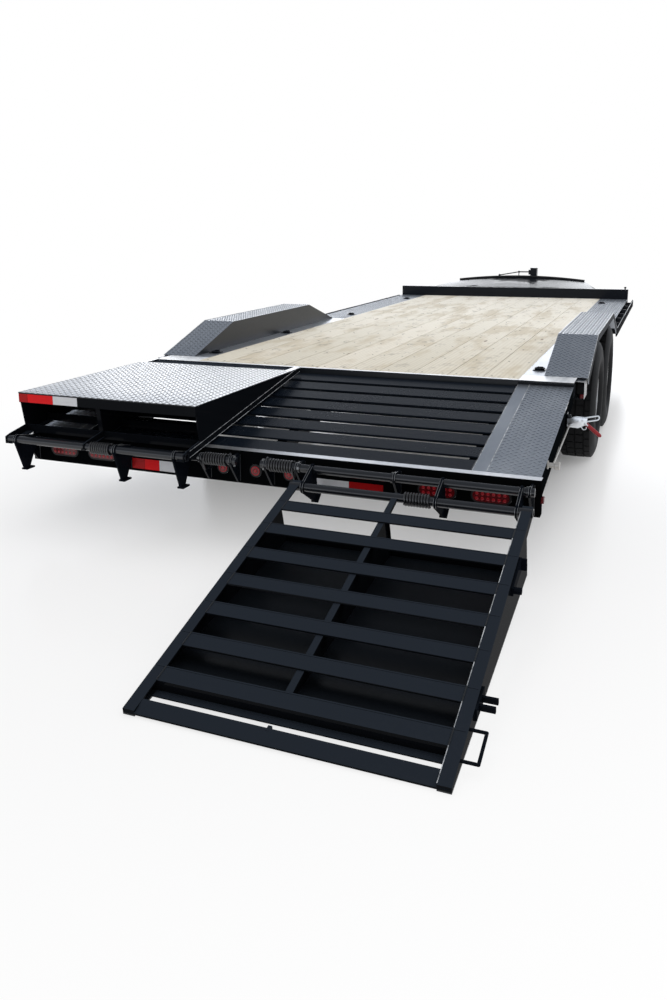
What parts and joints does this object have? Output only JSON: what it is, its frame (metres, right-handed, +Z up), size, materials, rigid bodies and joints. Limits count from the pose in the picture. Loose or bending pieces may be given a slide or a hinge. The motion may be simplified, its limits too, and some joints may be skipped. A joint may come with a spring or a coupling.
{
  "type": "car hauler trailer",
  "caption": "Tandem-axle flatbed trailer with a wood deck, drive-over fenders, open-slat dovetail and two flip-over loading ramps on spring-assisted double hinges.",
  "frame": {"origin": "on the ground under the middle of the trailer's overall length and width", "axes": "+X to the right, +Y forward towards the coupler, +Z up"},
  "size_m": [2.8192, 9.3972, 0.903],
  "materials": {
    "tyre": "matt black rubber",
    "wheel_steel": "silver painted steel",
    "pine": "treated pine planks",
    "lamp_red": "gloss red lens",
    "spring_steel": "dark oiled steel",
    "zinc": "bright zinc plate",
    "box_grey": "light grey paint",
    "tread_plate": "gloss black powder coat on raised tread",
    "running_gear": "satin black",
    "frame_black": "gloss black powder coat"
  },
  "bodies": {
    "chassis": {"axle_front": "running_gear", "axle_rear": "running_gear", "coupler": "frame_black", "crossmembers": "frame_black", "deck_boards": "pine", "deck_side_plates": "tread_plate", "dovetail_carriers": "frame_black", "dovetail_side_plates": "tread_plate", "dovetail_slats": "frame_black", "equalisers": "running_gear", "fender_end_boxes": "frame_black", "fender_left": "tread_plate", "fender_right": "tread_plate", "fixed_hinge_pipes": "frame_black", "fixed_hinge_springs": "spring_steel", "front_channel": "frame_black", "header_rail": "frame_black", "hinge_ears": "frame_black", "jack_crank": "frame_black", "jack_tube": "frame_black", "lamps": "lamp_red", "leaf_springs": "running_gear", "main_rails": "frame_black", "rear_bumper": "frame_black", "rub_rail_spools": "frame_black", "rub_rails": "frame_black", "side_rails": "frame_black", "spring_hangers": "running_gear", "tie_down_rings": "frame_black", "toggle_clamps": "zinc", "tongue_box": "box_grey", "tongue_rail_left": "frame_black", "tongue_rail_right": "frame_black"},
    "jack_drop_leg": {"jack_leg": "frame_black"},
    "box_lid": {"tongue_box_lid": "frame_black"},
    "link_left": {"hinge_links_left": "frame_black"},
    "ramp_left": {"ramp_left_frame": "frame_black", "ramp_left_plate": "tread_plate", "ramp_left_pipe": "frame_black", "ramp_left_spring": "spring_steel", "ramp_left_fittings": "frame_black"},
    "link_right": {"hinge_links_right": "frame_black"},
    "ramp_right": {"ramp_right_frame": "frame_black", "ramp_right_plate": "tread_plate", "ramp_right_pipe": "frame_black", "ramp_right_spring": "spring_steel", "ramp_right_fittings": "frame_black"},
    "wheel_rear_left": {"tyre_rear_left": "tyre", "rim_rear_left": "wheel_steel"},
    "wheel_rear_right": {"tyre_rear_right": "tyre", "rim_rear_right": "wheel_steel"},
    "wheel_front_left": {"tyre_front_left": "tyre", "rim_front_left": "wheel_steel"},
    "wheel_front_right": {"tyre_front_right": "tyre", "rim_front_right": "wheel_steel"}
  },
  "joints": [
    {"name": "jack_leg_slide", "type": "slide", "parent": "chassis", "child": "jack_drop_leg", "axis": [0, 0, 1], "range_m": [0, 0.3]},
    {"name": "box_lid_hinge", "type": "hinge", "parent": "chassis", "child": "box_lid", "pos_m": [0, 3.32251, 0.708], "axis": [1, 0, 0], "range_deg": [0, 80]},
    {"name": "link_left_hinge", "type": "hinge", "parent": "chassis", "child": "link_left", "pos_m": [-0.745, -3.34249, 0.396], "axis": [1, 0, 0], "range_deg": [0, 38.5]},
    {"name": "ramp_left_hinge", "type": "hinge", "parent": "link_left", "child": "ramp_left", "pos_m": [-0.745, -3.45432, 0.42285], "axis": [1, 0, 0], "range_deg": [0, 147.9]},
    {"name": "link_right_hinge", "type": "hinge", "parent": "chassis", "child": "link_right", "pos_m": [0.745, -3.34249, 0.396], "axis": [1, 0, 0], "range_deg": [-38.5, 0]},
    {"name": "ramp_right_hinge", "type": "hinge", "parent": "link_right", "child": "ramp_right", "pos_m": [0.745, -3.44672, 0.3474], "axis": [1, 0, 0], "range_deg": [-147.9, 0]},
    {"name": "wheel_rear_left_spin", "type": "hinge", "parent": "chassis", "child": "wheel_rear_left", "pos_m": [-1.197, -1.16202, 0.358], "axis": [1, 0, 0], "continuous": true},
    {"name": "wheel_rear_right_spin", "type": "hinge", "parent": "chassis", "child": "wheel_rear_right", "pos_m": [1.197, -1.16202, 0.358], "axis": [1, 0, 0], "continuous": true},
    {"name": "wheel_front_left_spin", "type": "hinge", "parent": "chassis", "child": "wheel_front_left", "pos_m": [-1.197, -0.27202, 0.358], "axis": [1, 0, 0], "continuous": true},
    {"name": "wheel_front_right_spin", "type": "hinge", "parent": "chassis", "child": "wheel_front_right", "pos_m": [1.197, -0.27202, 0.358], "axis": [1, 0, 0], "continuous": true}
  ]
}
